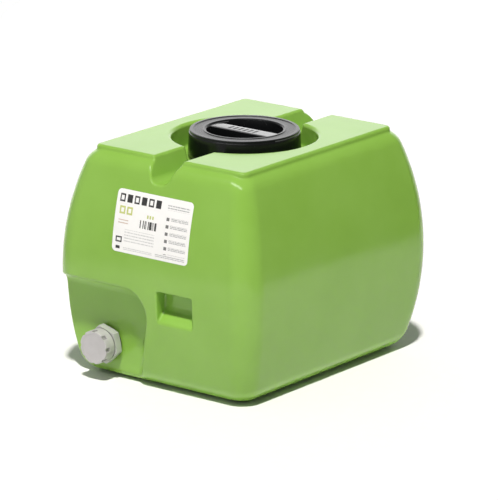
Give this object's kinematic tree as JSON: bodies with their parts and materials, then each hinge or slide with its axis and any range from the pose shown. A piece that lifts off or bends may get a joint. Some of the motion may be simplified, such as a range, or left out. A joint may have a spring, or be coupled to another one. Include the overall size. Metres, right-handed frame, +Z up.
{
  "type": "fresh water tank",
  "caption": "Moulded plastic water tank with barrelled walls, flat pads on top split by a strap channel, a screw filler cap and a capped drain in a corner recess.",
  "frame": {"origin": "middle of the flat base, on the floor, under the neck's axis", "axes": "+Z up along the neck; -Y out of the end wall with the label, hand pocket and drain; long axis along Y; +X to the right as seen from that end"},
  "size_m": [0.384, 0.4775, 0.37],
  "materials": {
    "green_polyethylene": "semi-gloss moulded polyethylene, yellowish green",
    "black_cap": "semi-gloss injection-moulded black",
    "rubber": "matt black packing",
    "grey_socket": "satin grey hard plastic",
    "grey_cap": "satin grey hard plastic",
    "grey_nut": "satin grey hard plastic",
    "label_film": null
  },
  "bodies": {
    "tank": {"tank_shell": "green_polyethylene", "drain_socket": "grey_socket", "drain_socket_packing": "rubber", "drain_lock_nut_packing": "rubber", "drain_lock_nut": "grey_nut", "label": "label_film"},
    "fill_cap_seal": {"fill_cap_gasket": "rubber"},
    "filler_cap": {"fill_cap": "black_cap"},
    "drain_cap_seal": {"drain_cap_packing": "rubber"},
    "drain_closure": {"drain_cap": "grey_cap"}
  },
  "joints": [
    {"name": "fill_cap_lift", "type": "slide", "parent": "tank", "child": "fill_cap_seal", "axis": [0, 0, 1], "range_m": [0, 0.0301]},
    {"name": "fill_cap_turn", "type": "hinge", "parent": "fill_cap_seal", "child": "filler_cap", "pos_m": [0, 0, 0.35], "axis": [0, 0, 1], "range_deg": [0, 1080]},
    {"name": "drain_cap_draw", "type": "slide", "parent": "tank", "child": "drain_cap_seal", "axis": [0, -1, 0], "range_m": [0, 0.0121]},
    {"name": "drain_cap_turn", "type": "hinge", "parent": "drain_cap_seal", "child": "drain_closure", "pos_m": [-0.106, -0.232, 0.054], "axis": [0, -1, 0], "range_deg": [0, 1080]}
  ],
  "couplings": [
    {"joint": "fill_cap_lift", "follows": "fill_cap_turn", "m_per_rad": 0.0015915},
    {"joint": "drain_cap_draw", "follows": "drain_cap_turn", "m_per_rad": 0.00063662}
  ]
}
